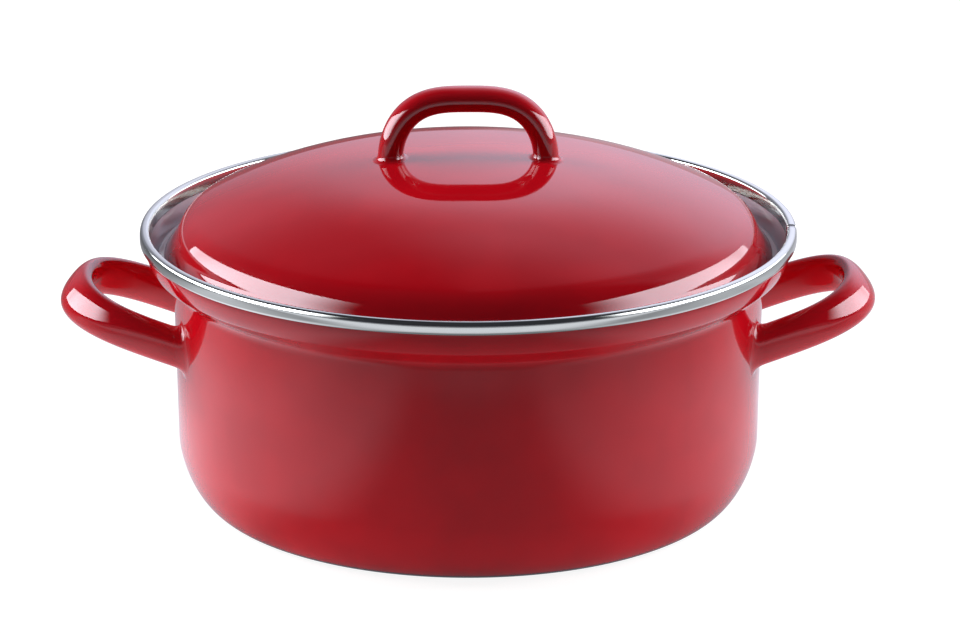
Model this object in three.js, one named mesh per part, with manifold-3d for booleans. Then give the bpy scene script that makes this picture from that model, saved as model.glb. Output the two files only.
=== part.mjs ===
// An enamelled steel casserole: a drawn pot with a stepped collar and a rolled steel rim band,
// two welded loop handles, and a domed lid that rests on the ledge inside the collar.
// Millimetres, +Z up. The origin is the middle of the flat base, where it stands on the table.
// The side handles lie along X, and the lid handle arches along X above the dome.
import * as THREE from 'three';
import { mergeVertices } from 'three/addons/utils/BufferGeometryUtils.js';
import Module from 'manifold-3d';

const wasm = await Module();
wasm.setup();

const degree = Math.PI / 180;
const halfTurn = Math.PI;
const quarterTurn = Math.PI / 2;

// Pot wall, from the base upwards
const bodyRadius = 116.9; // outside of the straight wall, at the foot of the step
const wallTaper = 0.9; // how far the wall draws in from there down to the base corner
const potWall = 1.4; // steel sheet with enamel on both faces
const baseCornerHeight = 24;
const baseCornerWidth = 12.3;
const baseCornerPower = 1.25; // of sine and cosine: 1 is an ellipse, more is softer
const stepFootHeight = 88; // where the wall starts to step outwards
const stepFootRadius = 4;
const stepAngle = 54 * degree; // lean of the ledge slope from the vertical
const stepHeadRadius = 3;
const collarStep = 11.1; // from the straight wall out to the upright edge
const collarAngle = 32 * degree; // lean of the collar where it leaves the step
const collarRadius = 17;
const edgeRise = 2.2; // upright edge that the rim band holds

// Rolled rim band
const seatClearance = 0.3; // between pieces that touch or are welded together
const bandSheet = 0.5;
const bandBulge = 1.5; // how far the outer roll stands out from the edge
const bandCrownRise = 2.5; // above the pot's edge
const bandFaceDrop = 1.2; // from the pot's edge down to where the face stands out furthest
const bandOuterDrop = 2.7; // from the pot's edge down to the outer lip
const bandSectionPower = 0.6; // of sine and cosine: under 1 is squarer than an ellipse
const bandInnerDrop = 3;
const seamGap = 0.3; // butt joint where the two ends of the band meet
const seamAngle = -3 * degree; // just in front of the right handle

// Lid, from the edge up to the crown
const lidWall = 1.2;
const lidSetIn = 0.7; // from the head of the ledge slope in to the lip
const lipRise = 1;
const lipCornerRadius = 1.6;
const flangeAngle = 4.4 * degree;
const flangeWidth = 1;
const skirtFootRadius = 0.8;
const skirtAngle = 55.1 * degree;
const skirtLength = 6.6;
const skirtHollowRadius = 7.2; // from the skirt up to the steep foot of the shoulder
const shoulderFootAngle = 72.5 * degree;
const shoulderRadius = 16.3;
const domeEdgeAngle = 26.6 * degree; // slope of the dome where the shoulder starts
const domeRadius = 177.5; // of the arc from there in to the flatter crown
const crownAngle = 8.69 * degree; // slope at the edge of the crown

// Side handles: a flattened bar bent into a loop, welded to the wall at both ends
const handleDrop = 18; // from the foot of the step down to the handles' roots
const handleReach = 41.1; // from the wall out to the centre line at the end of the loop
const handleSetBack = 6.6; // the loop's curve starts this far inside the wall
const handleSpan = 65.4; // between the centre lines of the two legs
const handleTilt = 20 * degree;
const handleLegThickness = 9.6;
const handleEndThickness = 8.4;
const handleLegDepth = 15.4;
const handleEndDepth = 17.4;
const handleEndRoll = 18 * degree; // turns the outer face of the end upwards
const handleReachPower = 0.53; // of the cosine: under 1 keeps the legs straight
const handleSpanPower = 0.95;
const handleWeldWidth = 3.4;
const handleWeldRise = 5.2;
const handleFootLength = 15; // of the loop's curve, from its end to above the weld bead

// Lid handle: an oval bar bent into an arch
const lidHandleRise = 22.9; // from the crown of the lid up to the centre line
const lidHandleSpan = 61.2;
const lidHandleThickness = 10.1;
const lidHandleDepth = 13;
const lidHandleRisePower = 1.04;
const lidHandleSpanPower = 0.63;
const lidWeldWidth = 2.4;
const lidWeldRise = 2.8;
const lidFootLength = 5; // of the arch's curve, from its end to above the weld bead

// Section of both bars, and how far they run into the wall before they are cut
const barSectionPower = 0.87; // of sine and cosine: under 1 is squarer than an ellipse
const rootOverrun = 9;
const cutOverrun = 5; // how far a cutting tool passes the face that it cuts

// Facets
const turnSegments = 60;
const arcSteps = 3;
const bandSteps = 4;
const cornerSteps = 6;
const domeSteps = 4;
const crownSteps = 3;
const barSides = 16;
const barSteps = 18;
const footRings = 6; // along each welded foot of a bar

const enamel = { color: 0xa8101c, roughness: 0.12, metalness: 0 };
const steel = { color: 0xc9ccce, roughness: 0.22, metalness: 1 };

// Outlines: points of (radius, height), the outside of the sheet on the right of the way they run

/** Points of a circular arc of an outline, from one lean to another, without its first point.
 * A lean is measured from the vertical, positive outwards, and the arc starts at the given point. */
function leanArc(start, radius, fromLean, toLean) {
  const turn = Math.sign(toLean - fromLean) * radius;
  const points = [];
  for (let step = 1; step <= arcSteps; step += 1) {
    const lean = THREE.MathUtils.lerp(fromLean, toLean, step / arcSteps);
    points.push(new THREE.Vector2(
      start.x + turn * (Math.cos(fromLean) - Math.cos(lean)),
      start.y + turn * (Math.sin(lean) - Math.sin(fromLean)),
    ));
  }
  return points;
}

/** The point that lies a distance further along a lean. */
function leanRun(start, distance, lean) {
  return new THREE.Vector2(start.x + distance * Math.sin(lean), start.y + distance * Math.cos(lean));
}

/** Moves an outline sideways by a distance, outwards if positive. */
function offsetOutline(outline, distance) {
  const normals = outline.slice(1).map((point, index) => {
    const along = point.clone().sub(outline[index]).normalize();
    return new THREE.Vector2(along.y, -along.x);
  });
  return outline.map((point, index) => {
    const before = normals[Math.max(index - 1, 0)];
    const after = normals[Math.min(index, normals.length - 1)];
    const middle = before.clone().add(after).normalize();
    const moved = point.clone().addScaledVector(middle, distance / middle.dot(before));
    return new THREE.Vector2(point.x === 0 ? 0 : moved.x, moved.y);
  });
}

/** Where an outline crosses a radius or a height, on its last crossing: the other coordinate. */
function crossOutline(outline, given, wanted, value) {
  for (let index = outline.length - 1; index > 0; index -= 1) {
    const low = outline[index - 1];
    const high = outline[index];
    const share = (value - low[given]) / (high[given] - low[given]);
    if (share >= 0 && share <= 1) return THREE.MathUtils.lerp(low[wanted], high[wanted], share);
  }
  return outline[0][wanted];
}

/** Outside of the pot, from the middle of the base up to its upright edge. */
function potOutline() {
  const cornerTop = bodyRadius - wallTaper;
  const points = [new THREE.Vector2(0, 0)];
  for (let step = 0; step <= cornerSteps; step += 1) {
    const turn = quarterTurn * (step / cornerSteps);
    points.push(new THREE.Vector2(
      cornerTop - baseCornerWidth + baseCornerWidth * Math.sin(turn) ** baseCornerPower,
      baseCornerHeight - baseCornerHeight * Math.abs(Math.cos(turn)) ** baseCornerPower,
    ));
  }
  points.push(new THREE.Vector2(bodyRadius, stepFootHeight));
  points.push(...leanArc(points.at(-1), stepFootRadius, 0, stepAngle));
  points.push(leanRun(points.at(-1), slopeLength(), stepAngle));
  points.push(...leanArc(points.at(-1), stepHeadRadius, stepAngle, collarAngle));
  points.push(...leanArc(points.at(-1), collarRadius, collarAngle, 0));
  points.push(leanRun(points.at(-1), edgeRise, 0));
  return points;
}

/** Length of the straight ledge slope: what the step's width leaves beside its three arcs. */
function slopeLength() {
  const foot = stepFootRadius * (1 - Math.cos(stepAngle));
  const head = stepHeadRadius * (Math.cos(collarAngle) - Math.cos(stepAngle));
  const collar = collarRadius * (1 - Math.cos(collarAngle));
  return (collarStep - foot - head - collar) / Math.sin(stepAngle);
}

const potOutside = potOutline();
const potInside = offsetOutline(potOutside, -potWall);
const edge = potOutside.at(-1);

/** Inside corner at the head of the ledge slope. */
const ledgeHead = potInside[potInside.length - 1 - (arcSteps + arcSteps + 1)];
const lidRadius = ledgeHead.x - lidSetIn;
const lipHeight = crossOutline(potInside, 'x', 'y', lidRadius) + seatClearance / Math.sin(stepAngle);

/** Outside of the lid, from the foot of its lip up to the crown. */
function lidOutline() {
  const points = [new THREE.Vector2(lidRadius, lipHeight)];
  const slope = (angle) => angle - quarterTurn;
  points.push(leanRun(points.at(-1), lipRise, 0));
  points.push(...leanArc(points.at(-1), lipCornerRadius, 0, slope(flangeAngle)));
  points.push(leanRun(points.at(-1), flangeWidth, slope(flangeAngle)));
  points.push(...leanArc(points.at(-1), skirtFootRadius, slope(flangeAngle), slope(skirtAngle)));
  points.push(leanRun(points.at(-1), skirtLength, slope(skirtAngle)));
  points.push(...leanArc(points.at(-1), skirtHollowRadius, slope(skirtAngle), slope(shoulderFootAngle)));
  points.push(...leanArc(points.at(-1), shoulderRadius, slope(shoulderFootAngle), slope(domeEdgeAngle)));
  points.push(...domeArc(points.at(-1), domeRadius, domeEdgeAngle, crownAngle, domeSteps));
  const crownEdge = points.at(-1);
  points.push(...domeArc(crownEdge, crownEdge.x / Math.sin(crownAngle), crownAngle, 0, crownSteps));
  points.at(-1).x = 0;
  return points;
}

/** Points of a shallow arc that runs inwards, from one slope to a flatter one, without its first point. */
function domeArc(start, radius, fromSlope, toSlope, steps) {
  const points = [];
  for (let step = 1; step <= steps; step += 1) {
    const angle = THREE.MathUtils.lerp(fromSlope, toSlope, step / steps);
    points.push(new THREE.Vector2(
      start.x - radius * (Math.sin(fromSlope) - Math.sin(angle)),
      start.y + radius * (Math.cos(angle) - Math.cos(fromSlope)),
    ));
  }
  return points;
}

const lidOutside = lidOutline();
const lidInside = offsetOutline(lidOutside, -lidWall);
const crownHeight = lidOutside.at(-1).y;

/** Points of a quarter or half of a squarish ellipse about a centre, from one turn to another. */
function squareArc(centre, across, up, fromTurn, toTurn) {
  const points = [];
  const shaped = (value) => Math.sign(value) * Math.abs(value) ** bandSectionPower;
  for (let step = 0; step <= bandSteps; step += 1) {
    const turn = THREE.MathUtils.lerp(fromTurn, toTurn, step / bandSteps);
    points.push(new THREE.Vector2(
      centre.x + across * shaped(Math.cos(turn)),
      centre.y + up * shaped(Math.sin(turn)),
    ));
  }
  return points;
}

/** One face of the rim band, inset from its outside, from the outer lip over to the inner lip. */
function bandFace(inset) {
  const outerLip = new THREE.Vector2(edge.x + seatClearance, edge.y - bandFaceDrop);
  const innerFace = edge.x - potWall - seatClearance - bandSheet;
  const outerFace = outerLip.x + bandBulge;
  const crown = new THREE.Vector2((innerFace + outerFace) / 2, outerLip.y);
  const crownWidth = (outerFace - innerFace) / 2;
  return [
    ...squareArc(outerLip, bandBulge - inset, bandOuterDrop - bandFaceDrop - inset, -quarterTurn, 0),
    ...squareArc(crown, crownWidth - inset, bandCrownRise + bandFaceDrop - inset, 0, halfTurn).slice(1),
    new THREE.Vector2(innerFace + inset, edge.y - bandInnerDrop),
  ];
}

/** A closed solid of revolution about Z from an outline that runs anticlockwise. */
function turned(outline) {
  const geometry = new THREE.LatheGeometry(outline, turnSegments);
  geometry.rotateX(quarterTurn);
  return geometry;
}

/** A manifold-3d solid from a closed geometry. */
function toSolid(geometry) {
  const bare = geometry.clone();
  bare.deleteAttribute('normal');
  bare.deleteAttribute('uv');
  const merged = mergeVertices(bare);
  const corners = [];
  for (let index = 0; index < merged.index.count; index += 3) {
    const [a, b, c] = [0, 1, 2].map((corner) => merged.index.getX(index + corner));
    if (a !== b && b !== c && c !== a) corners.push(a, b, c);
  }
  return new wasm.Manifold(new wasm.Mesh({
    numProp: 3,
    vertProperties: new Float32Array(merged.attributes.position.array),
    triVerts: new Uint32Array(corners),
  }));
}

/** A geometry from a manifold-3d solid. */
function toGeometry(solid) {
  const { vertProperties, triVerts } = solid.getMesh();
  const geometry = new THREE.BufferGeometry();
  geometry.setAttribute('position', new THREE.BufferAttribute(vertProperties, 3));
  geometry.setIndex(new THREE.BufferAttribute(triVerts, 1));
  geometry.computeVertexNormals();
  return geometry;
}

/** A closed body through rings of points, each with the same count, capped at both ends. */
function loft(rings) {
  const sides = rings[0].length;
  const vertices = rings.flat();
  const middle = (ring) => ring.reduce((sum, point) => sum.add(point), new THREE.Vector3()).divideScalar(sides);
  vertices.push(middle(rings[0]), middle(rings.at(-1)));
  const [firstCap, lastCap] = [vertices.length - 2, vertices.length - 1];
  const corners = [];
  for (let ring = 0; ring < rings.length - 1; ring += 1) {
    for (let side = 0; side < sides; side += 1) {
      const here = ring * sides + side;
      const beside = ring * sides + (side + 1) % sides;
      corners.push(here, here + sides, beside, beside, here + sides, beside + sides);
    }
  }
  const lastRing = (rings.length - 1) * sides;
  for (let side = 0; side < sides; side += 1) {
    const beside = (side + 1) % sides;
    corners.push(firstCap, side, beside, lastCap, lastRing + beside, lastRing + side);
  }
  const geometry = new THREE.BufferGeometry().setFromPoints(vertices);
  geometry.setIndex(corners);
  return geometry;
}

/** Centre line of a bar: half of a superellipse in a plane, from one foot over to the other. */
class LoopCurve extends THREE.Curve {
  constructor(size, place) {
    super();
    Object.assign(this, size);
    this.place = place;
  }

  getPoint(share, target = new THREE.Vector3()) {
    const turn = THREE.MathUtils.lerp(-quarterTurn, quarterTurn, share);
    const reach = this.reach * Math.max(Math.cos(turn), 0) ** this.reachPower;
    const side = Math.sign(turn) * (this.span / 2) * Math.abs(Math.sin(turn)) ** this.spanPower;
    return target.copy(this.place(reach, side));
  }
}

/** Rings of a bar along its centre line. Each station holds its centre, its two section
 * directions and its two half sizes, and the ring's points stand out from the bar by a margin. */
function barRings(stations, marginAt) {
  return stations.map(({ centre, outwards, upwards, halfThickness, halfDepth }) => {
    const ring = [];
    for (let side = 0; side < barSides; side += 1) {
      const turn = (2 * halfTurn * side) / barSides;
      const across = Math.sign(Math.cos(turn)) * Math.abs(Math.cos(turn)) ** barSectionPower;
      const up = Math.sign(Math.sin(turn)) * Math.abs(Math.sin(turn)) ** barSectionPower;
      const skin = centre.clone()
        .addScaledVector(outwards, halfThickness * across)
        .addScaledVector(upwards, halfDepth * up);
      const away = new THREE.Vector3()
        .addScaledVector(outwards, across / halfThickness)
        .addScaledVector(upwards, up / halfDepth)
        .normalize();
      ring.push(skin.clone().addScaledVector(away, marginAt(skin)));
    }
    return ring;
  });
}

/** Stations along a bar's curve, close together at both feet, and one beyond each end in the wall. */
function barStations(curve, planeNormal, footLength, sizeAt) {
  const footShare = footLength / curve.getLength();
  const spread = (count, from, to) => Array.from(
    { length: count },
    (_, index) => THREE.MathUtils.lerp(from, to, index / count),
  );
  const shares = [
    ...spread(footRings, 0, footShare),
    ...spread(barSteps, footShare, 1 - footShare),
    ...spread(footRings, 1 - footShare, 1),
    1,
  ];
  const stations = shares.map((share) => {
    const centre = curve.getPointAt(share);
    const along = curve.getTangentAt(share);
    const outwards = new THREE.Vector3().crossVectors(along, planeNormal).normalize();
    return { centre, along, ...sizeAt(centre, outwards) };
  });
  const [first, last] = [stations[0], stations.at(-1)];
  const extend = (station, distance) => ({
    ...station, centre: station.centre.clone().addScaledVector(station.along, distance),
  });
  return [extend(first, -rootOverrun), ...stations, extend(last, rootOverrun)];
}

const upX = new THREE.Vector3(1, 0, 0);
const upY = new THREE.Vector3(0, 1, 0);
const upZ = new THREE.Vector3(0, 0, 1);

// Side handle: the loop's plane leaves the wall below the step and rises by the tilt
const tiltedOut = upX.clone().applyAxisAngle(upY, -handleTilt);
const tiltedUp = upZ.clone().applyAxisAngle(upY, -handleTilt);
const handleRoot = new THREE.Vector3(bodyRadius, 0, stepFootHeight - handleDrop);
const handleCurve = new LoopCurve(
  {
    reach: handleReach + handleSetBack,
    span: handleSpan,
    reachPower: handleReachPower,
    spanPower: handleSpanPower,
  },
  (reach, side) => handleRoot.clone()
    .addScaledVector(tiltedOut, reach - handleSetBack)
    .addScaledVector(upY, side),
);

/** Section of the side handle at a point of its centre line: it rolls and deepens at the end. */
function handleSection(centre, outwards) {
  const legShare = Math.min(Math.abs(centre.y) / (handleSpan / 2), 1) ** 2;
  const roll = new THREE.Quaternion().setFromAxisAngle(
    new THREE.Vector3().crossVectors(tiltedUp, outwards),
    -handleEndRoll * (1 - legShare),
  );
  return {
    outwards: outwards.clone().applyQuaternion(roll),
    upwards: tiltedUp.clone().applyQuaternion(roll),
    halfThickness: THREE.MathUtils.lerp(handleEndThickness, handleLegThickness, legShare) / 2,
    halfDepth: THREE.MathUtils.lerp(handleEndDepth, handleLegDepth, legShare) / 2,
  };
}

// Lid handle: the arch stands upright over the crown, and its curve starts just clear of the lid
const lidHandleStart = crossOutline(lidOutside, 'x', 'y', lidHandleSpan / 2) + seatClearance;
const lidHandleCurve = new LoopCurve(
  {
    reach: crownHeight + lidHandleRise - lidHandleStart,
    span: lidHandleSpan,
    reachPower: lidHandleRisePower,
    spanPower: lidHandleSpanPower,
  },
  (reach, side) => new THREE.Vector3(side, 0, lidHandleStart + reach),
);

/** Section of the lid handle, the same all along. */
function lidHandleSection(centre, outwards) {
  return { outwards, upwards: upY, halfThickness: lidHandleThickness / 2, halfDepth: lidHandleDepth / 2 };
}

/** Margin of a concave weld bead at a height above the skin: its width at the skin, none at its rise. */
function beadMargin(height, width, rise) {
  const share = THREE.MathUtils.clamp(1 - height / rise, 0, 1);
  return width * (1 - Math.sqrt(1 - share * share));
}

/** A bar cut off at a skin, and the weld beads at its two feet, cut clear of bar and skin. */
function weldedBar({ stations, skin, heightAbove, weldWidth, weldRise }) {
  const bar = toSolid(loft(barRings(stations, () => 0))).subtract(skin);
  const clearBar = toSolid(loft(barRings(stations, () => seatClearance)));
  const margin = (point) => beadMargin(heightAbove(point), weldWidth, weldRise);
  const sleeve = toSolid(loft(barRings(stations, margin)));
  const beads = sleeve.subtract(clearBar).subtract(skin).decompose();
  return { bar: toGeometry(bar), beads: beads.map(toGeometry) };
}

/** The pot filled up and grown by the seat clearance: what a handle is cut off against. */
function potSkin() {
  const grown = offsetOutline(potOutside, seatClearance);
  return toSolid(turned([...grown, new THREE.Vector2(0, grown.at(-1).y)]));
}

/** The lid filled up and grown by the seat clearance. */
function lidSkin() {
  const grown = offsetOutline(lidOutside, seatClearance);
  const floor = grown[0].y - cutOverrun;
  return toSolid(turned([new THREE.Vector2(0, floor), new THREE.Vector2(grown[0].x, floor), ...grown]));
}

/** The rim band, with the butt joint where its ends meet. */
function bandGeometry() {
  const outline = [...bandFace(0), ...bandFace(bandSheet).reverse()];
  const hoop = toSolid(turned([...outline, outline[0].clone()]));
  const depth = bandBulge + potWall + bandSheet + cutOverrun;
  const slit = new THREE.BoxGeometry(2 * depth, seamGap, 2 * (bandCrownRise + bandInnerDrop));
  slit.translate(edge.x, 0, edge.y);
  slit.rotateZ(seamAngle);
  return toGeometry(hoop.subtract(toSolid(slit)));
}

const sideHandle = weldedBar({
  stations: barStations(handleCurve, tiltedUp, handleFootLength, handleSection),
  skin: potSkin(),
  heightAbove: (point) => Math.hypot(point.x, point.y) - crossOutline(potOutside, 'y', 'x', point.z),
  weldWidth: handleWeldWidth,
  weldRise: handleWeldRise,
});
const lidHandle = weldedBar({
  stations: barStations(lidHandleCurve, upY, lidFootLength, lidHandleSection),
  skin: lidSkin(),
  heightAbove: (point) => point.z - crossOutline(lidOutside, 'x', 'y', Math.hypot(point.x, point.y)),
  weldWidth: lidWeldWidth,
  weldRise: lidWeldRise,
});

/** A named mesh with its own material. */
function piece(name, geometry, finish) {
  const mesh = new THREE.Mesh(geometry, new THREE.MeshStandardMaterial(finish));
  mesh.name = name;
  return mesh;
}

const pot = new THREE.Group();
pot.add(piece('pot_shell', turned([...potOutside, ...potInside.toReversed()]), enamel));
pot.add(piece('pot_rim_band', bandGeometry(), steel));

for (const [side, turn, feet] of [
  ['right', 0, ['front', 'rear']],
  ['left', halfTurn, ['rear', 'front']],
]) {
  const mounted = new THREE.Group();
  mounted.rotation.z = turn;
  mounted.add(piece(`side_handle_${side}`, sideHandle.bar, enamel));
  feet.forEach((foot, index) => mounted.add(piece(`weld_${side}_${foot}`, sideHandle.beads[index], enamel)));
  pot.add(mounted);
}

const lid = new THREE.Group();
lid.add(piece('lid_shell', turned([...lidInside.toReversed(), ...lidOutside]), enamel));
lid.add(piece('lid_handle', lidHandle.bar, enamel));
['left', 'right'].forEach((foot, index) => lid.add(piece(`weld_lid_${foot}`, lidHandle.beads[index], enamel)));

const casserole = new THREE.Group();
casserole.add(pot, lid);

export default casserole;
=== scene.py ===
"""Looks of an enamelled steel casserole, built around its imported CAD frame.

Every length is in metres in the frame of the CAD: +Z up, the origin in the middle of the flat
base, the side handles along X and the photographer on the side of -Y.
"""

import logging
import math
from dataclasses import dataclass, field
from enum import Enum
from functools import cache
from typing import Callable

import bpy
import numpy as np
from mathutils import Matrix, Vector


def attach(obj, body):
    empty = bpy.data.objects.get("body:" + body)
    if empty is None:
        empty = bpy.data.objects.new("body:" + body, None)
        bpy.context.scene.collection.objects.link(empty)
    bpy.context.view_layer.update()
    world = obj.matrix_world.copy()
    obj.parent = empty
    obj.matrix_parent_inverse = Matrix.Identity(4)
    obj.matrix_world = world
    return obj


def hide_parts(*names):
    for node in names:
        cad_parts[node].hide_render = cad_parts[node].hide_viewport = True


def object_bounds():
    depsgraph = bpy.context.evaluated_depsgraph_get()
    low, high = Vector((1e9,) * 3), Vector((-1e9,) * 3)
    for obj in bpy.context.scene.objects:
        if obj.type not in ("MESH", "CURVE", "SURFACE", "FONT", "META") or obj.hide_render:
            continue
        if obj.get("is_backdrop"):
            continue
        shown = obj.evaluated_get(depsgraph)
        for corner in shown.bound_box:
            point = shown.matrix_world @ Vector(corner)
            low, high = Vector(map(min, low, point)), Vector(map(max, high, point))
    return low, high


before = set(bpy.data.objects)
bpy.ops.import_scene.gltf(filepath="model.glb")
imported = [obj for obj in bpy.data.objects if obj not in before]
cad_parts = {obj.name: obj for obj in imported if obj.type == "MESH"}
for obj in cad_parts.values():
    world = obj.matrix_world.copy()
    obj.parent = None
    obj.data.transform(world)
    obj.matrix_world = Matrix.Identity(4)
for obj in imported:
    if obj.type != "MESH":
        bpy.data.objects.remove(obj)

LOG = logging.getLogger("casserole")
MM = 0.001
DEGREE = math.pi / 180
QUARTER = math.pi / 2
CUT_SOFTNESS = 0.2 * MM
LONGEST_FACE = 5 * MM

Array = np.ndarray
Colour = tuple[float, float, float]
Sockets = dict[str, bpy.types.NodeSocket]


class Side(Enum):
    """The two sides of the pot along X, as the sign of X."""

    LEFT = -1
    RIGHT = 1


# ---------------------------------------------------------------- outlines and surfaces


@dataclass(frozen=True)
class Outline:
    """A line in the (radius, height) plane, from which a round piece is turned.

    A lean is an angle from the upright, positive outwards.
    """

    points: Array

    def arc(self, radius: float, from_lean: float, to_lean: float, steps: int = 24) -> "Outline":
        """Goes on along a circular arc.

        With the sign s of the turn, r = r0 + s R (cos a0 - cos a), z = z0 + s R (sin a - sin a0).

        Args:
            radius: Radius of the arc.
            from_lean: Lean where the arc starts.
            to_lean: Lean where it ends.
            steps: Number of chords.

        Returns:
            The longer outline.
        """
        turn = math.copysign(radius, to_lean - from_lean)
        lean = np.linspace(from_lean, to_lean, steps + 1)[1:]
        across = self.points[-1, 0] + turn * (math.cos(from_lean) - np.cos(lean))
        up = self.points[-1, 1] + turn * (np.sin(lean) - math.sin(from_lean))
        return Outline(np.vstack([self.points, np.column_stack([across, up])]))

    def run(self, distance: float, lean: float) -> "Outline":
        """Goes on straight.

        Args:
            distance: Length of the run.
            lean: Its lean.

        Returns:
            The longer outline.
        """
        step = np.array([math.sin(lean), math.cos(lean)]) * distance
        return Outline(np.vstack([self.points, self.points[-1] + step]))

    def then(self, other: "Outline") -> "Outline":
        """Returns this outline followed by another."""
        return Outline(np.vstack([self.points, other.points]))

    def reversed(self) -> "Outline":
        """Returns the outline run the other way."""
        return Outline(self.points[::-1])

    def along(self) -> Array:
        """Returns the distance of each point from the first, measured along the outline."""
        steps = np.hypot(*np.diff(self.points, axis=0).T)
        return np.concatenate([[0.0], np.cumsum(steps)])

    def at(self, wanted: Array) -> "Outline":
        """Returns the outline with points only at the wanted distances along it."""
        along = self.along()
        return Outline(np.column_stack([np.interp(wanted, along, part) for part in self.points.T]))

    def spaced(self, step: float) -> "Outline":
        """Resamples the outline evenly.

        Args:
            step: Distance between points.

        Returns:
            The same line with points at equal distances.
        """
        length = self.along()[-1]
        return self.at(np.linspace(0.0, length, max(int(length / step), 2)))

    def softened(self, reach: float, step: float = 0.05 * MM) -> "Outline":
        """Rounds every corner by a running mean with Gaussian weights, and keeps both ends.

        The line is carried on beyond each end by its point reflection in that end.

        Args:
            reach: Standard deviation of the weights, along the line.
            step: Distance between the points that are averaged.

        Returns:
            The softened outline.
        """
        even = self.spaced(step).points
        count = int(4 * reach / step)
        weights = np.exp(-0.5 * (np.arange(-count, count + 1) * step / reach) ** 2)
        weights /= weights.sum()
        head = 2 * even[0] - even[count:0:-1]
        tail = 2 * even[-1] - even[-2:-count - 2:-1]
        long = np.vstack([head, even, tail])
        return Outline(np.column_stack([np.convolve(part, weights, "valid") for part in long.T]))

    def graded(self, longest: float, bend: float) -> "Outline":
        """Resamples the outline closely where it bends and widely where it is straight.

        Points stand at equal steps of the sum of length / longest and turning / bend.

        Args:
            longest: Longest distance between two points.
            bend: Largest turn between two points.

        Returns:
            The resampled outline.
        """
        along = self.along()
        tangent = np.unwrap(np.arctan2(*np.gradient(self.points, axis=0).T))
        effort = np.concatenate([[0.0], np.cumsum(
            np.diff(along) / longest + np.abs(np.diff(tangent)) / bend)])
        return self.at(np.interp(np.linspace(0.0, effort[-1], int(effort[-1]) + 2), effort, along))

    def offset(self, distance: float) -> "Outline":
        """Moves the outline sideways, to the right of the way it runs.

        Args:
            distance: How far; negative moves it to the left.

        Returns:
            The moved outline, at radii of zero or more.
        """
        even = self.spaced(0.1 * MM).points
        tangent = np.gradient(even, axis=0)
        tangent /= np.linalg.norm(tangent, axis=1, keepdims=True)
        moved = even + distance * np.column_stack([tangent[:, 1], -tangent[:, 0]])
        moved[:, 0] = np.maximum(moved[:, 0], 0.0)
        return Outline(moved)


@dataclass
class Surface:
    """A surface given by points on a grid of rows and columns, and joined into a mesh.

    The columns close on themselves. The rows close on themselves, or each end row is closed by a
    fan of triangles round its middle.
    """

    points: Array
    closed_rows: bool = False
    values: dict[str, Array] = field(default_factory=dict)

    def build(self, name: str) -> bpy.types.Object:
        """Makes the mesh, with its faces turned outwards.

        Args:
            name: Name of the object and of its mesh.

        Returns:
            The object, linked to the scene.
        """
        rows, columns = self.points.shape[:2]
        row = np.arange(rows if self.closed_rows else rows - 1)[:, None]
        column = np.arange(columns)[None, :]
        near, far = row * columns, (row + 1) % rows * columns
        beside = (column + 1) % columns
        quads = np.stack([near + column, far + column, far + beside, near + beside], -1)
        quads = quads.reshape(-1, 4)
        vertices = self.points.reshape(-1, 3)
        values = {key: np.broadcast_to(value[:, None], (rows, columns)).ravel()
                  for key, value in self.values.items()}
        fans = np.zeros((0, 3), int)
        if not self.closed_rows:
            vertices = np.vstack([vertices, self.points[0].mean(0), self.points[-1].mean(0)])
            values = {key: np.append(value, [value[0], value[-1]]) for key, value in values.items()}
            ring, hub = np.arange(columns), rows * columns
            last = (rows - 1) * columns
            fans = np.vstack([
                np.column_stack([np.full(columns, hub), ring, np.roll(ring, -1)]),
                np.column_stack([np.full(columns, hub + 1), last + np.roll(ring, -1), last + ring]),
            ])
        if self.volume(vertices, quads, fans) < 0:
            quads, fans = quads[:, ::-1], fans[:, ::-1]
        mesh = bpy.data.meshes.new(name)
        mesh.from_pydata(vertices.tolist(), [], quads.tolist() + fans.tolist())
        mesh.polygons.foreach_set("use_smooth", np.ones(len(mesh.polygons), bool))
        for key, value in values.items():
            data = mesh.attributes.new(key, "FLOAT", "POINT").data
            data.foreach_set("value", value.astype(np.float32))
        mesh.update()
        piece = bpy.data.objects.new(name, mesh)
        bpy.context.scene.collection.objects.link(piece)
        return piece

    @staticmethod
    def volume(vertices: Array, quads: Array, fans: Array) -> float:
        """Returns the signed volume: the sum over all triangles of a . (b x c) / 6."""
        corners = np.vstack([quads[:, [0, 1, 2]], quads[:, [0, 2, 3]], fans])
        a, b, c = (vertices[corners[:, index]] for index in range(3))
        return float(np.einsum("ij,ij->i", a, np.cross(b, c)).sum() / 6)


def turned(outline: Outline, turns: int, start: float = 0.0, sweep: float = 2 * math.pi) -> Array:
    """Turns an outline about Z: x = r cos t, y = r sin t, z = z.

    Args:
        outline: The outline; its points are the rows.
        turns: Number of columns round the axis.
        start: Angle of the first column.
        sweep: Angle that the columns cover; a full turn closes on itself.

    Returns:
        Points of shape (rows, columns, 3).
    """
    whole = math.isclose(sweep, 2 * math.pi)
    angle = start + np.linspace(0.0, sweep, turns, endpoint=not whole)[None, :]
    radius, height = outline.points[:, 0, None], outline.points[:, 1, None]
    return np.stack([radius * np.cos(angle), radius * np.sin(angle), height + 0 * angle], -1)


def unit(vectors: Array) -> Array:
    """Returns the vectors scaled to length one."""
    return vectors / np.linalg.norm(vectors, axis=-1, keepdims=True)


def signed_power(values: Array, power: float) -> Array:
    """Returns sign(v) |v| ^ power, which squares up an ellipse when the power is under one."""
    return np.sign(values) * np.abs(values) ** power


# ---------------------------------------------------------------- shader groups and finishes


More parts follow.
